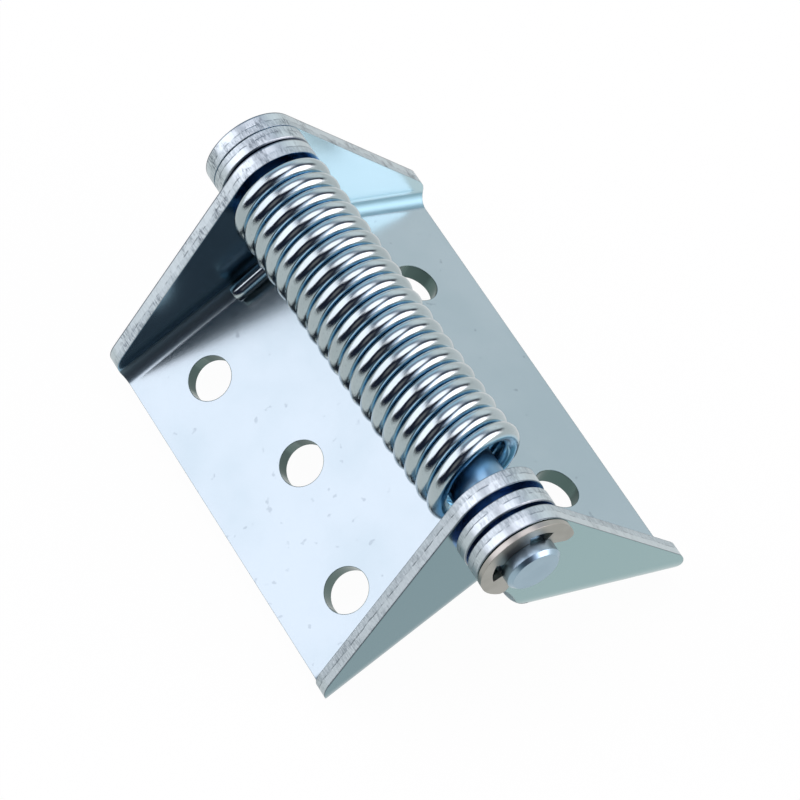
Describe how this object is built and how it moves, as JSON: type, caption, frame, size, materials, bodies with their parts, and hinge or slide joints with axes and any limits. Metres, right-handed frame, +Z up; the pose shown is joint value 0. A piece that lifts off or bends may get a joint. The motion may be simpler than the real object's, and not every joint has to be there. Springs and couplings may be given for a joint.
{
  "type": "spring hinge",
  "caption": "Spring-loaded door hinge: two bent sheet leaves with upturned ears on a through pin, a torsion spring wound over the pin, washers and a retaining clip",
  "frame": {"origin": "centre of the bounding box in plan, at the level of the leaves' free back edges", "axes": "Y along the pin from the clip end to the head end, Z up, X across the leaves from the inner to the outer one"},
  "size_m": [0.0666, 0.0982, 0.0488],
  "materials": {
    "zinc_sheet": "blue-white zinc plated steel sheet with sheared edges",
    "zinc_pin": "turned steel, satin zinc plating",
    "zinc_washer": "zinc plated steel",
    "nickel_clip": "spring steel with a warm nickel tone",
    "zinc_wire": "bright blue-white zinc plated spring wire"
  },
  "bodies": {
    "outer": {"outer_leaf": "zinc_sheet"},
    "inner": {"inner_leaf": "zinc_sheet", "torsion_spring": "zinc_wire"},
    "pin": {"hinge_pin": "zinc_pin", "retaining_clip": "nickel_clip", "near_washer": "zinc_washer", "far_washer": "zinc_washer"}
  },
  "joints": [
    {"name": "leaf_hinge", "type": "hinge", "parent": "outer", "child": "inner", "pos_m": [0, 0, 0.03853], "axis": [0, 1, 0], "range_deg": [0, 150], "stiffness_Nm_per_rad": 1.27, "springref_deg": -20.05, "deforming": ["torsion_spring"]},
    {"name": "pin_spin", "type": "hinge", "parent": "outer", "child": "pin", "pos_m": [0, 0, 0.03853], "axis": [0, 1, 0], "continuous": true}
  ]
}
